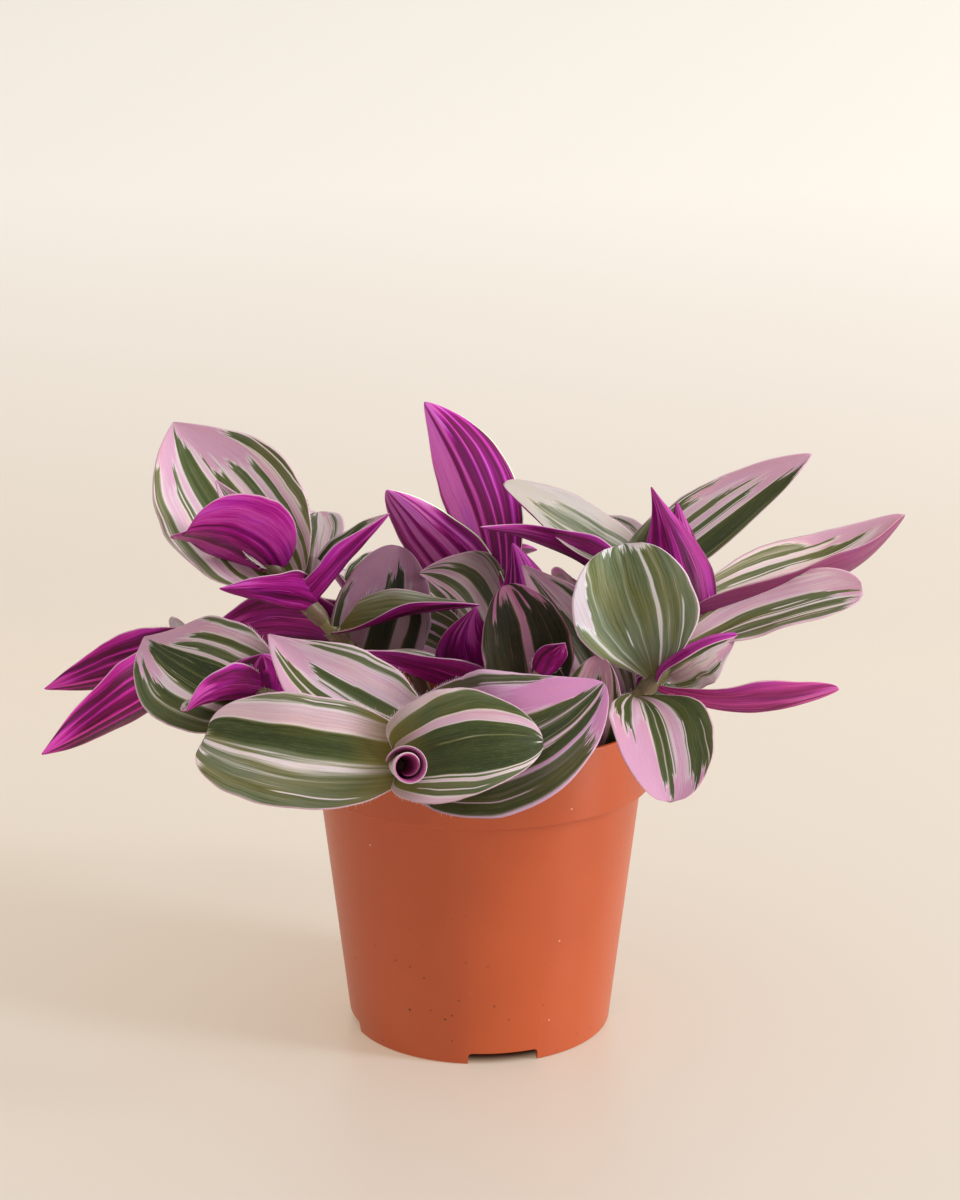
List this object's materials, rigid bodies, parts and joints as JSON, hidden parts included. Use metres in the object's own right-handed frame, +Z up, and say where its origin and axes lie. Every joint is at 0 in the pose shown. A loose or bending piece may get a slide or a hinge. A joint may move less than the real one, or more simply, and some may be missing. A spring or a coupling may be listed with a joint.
{
  "type": "potted tradescantia",
  "caption": "Bushy trailing house plant with striped, pink-edged leaves that are purple underneath, growing in a round nursery pot of soil.",
  "frame": {"origin": "on the pot's axis at the surface that its foot stands on, which is also the middle of the plant's spread", "axes": "+Z up, -Y towards the front of the plant, +X to the right seen from the front"},
  "size_m": [0.2974, 0.2486, 0.2134],
  "materials": {
    "pot_plastic": "satin terracotta-coloured plastic",
    "soil": "rough, crumbly potting soil",
    "foliage": "soft satin leaves, striped green, silver and pink above and purple below"
  },
  "bodies": {
    "root": {"pot": "pot_plastic", "soil": "soil", "shoot_front": "foliage", "shoot_upper_left": "foliage", "shoot_left_front": "foliage", "shoot_left": "foliage", "shoot_back_centre": "foliage", "shoot_upper_right": "foliage", "shoot_right": "foliage", "shoot_centre": "foliage", "shoot_middle": "foliage", "shoot_back_left": "foliage", "shoot_back_right": "foliage"}
  },
  "joints": []
}
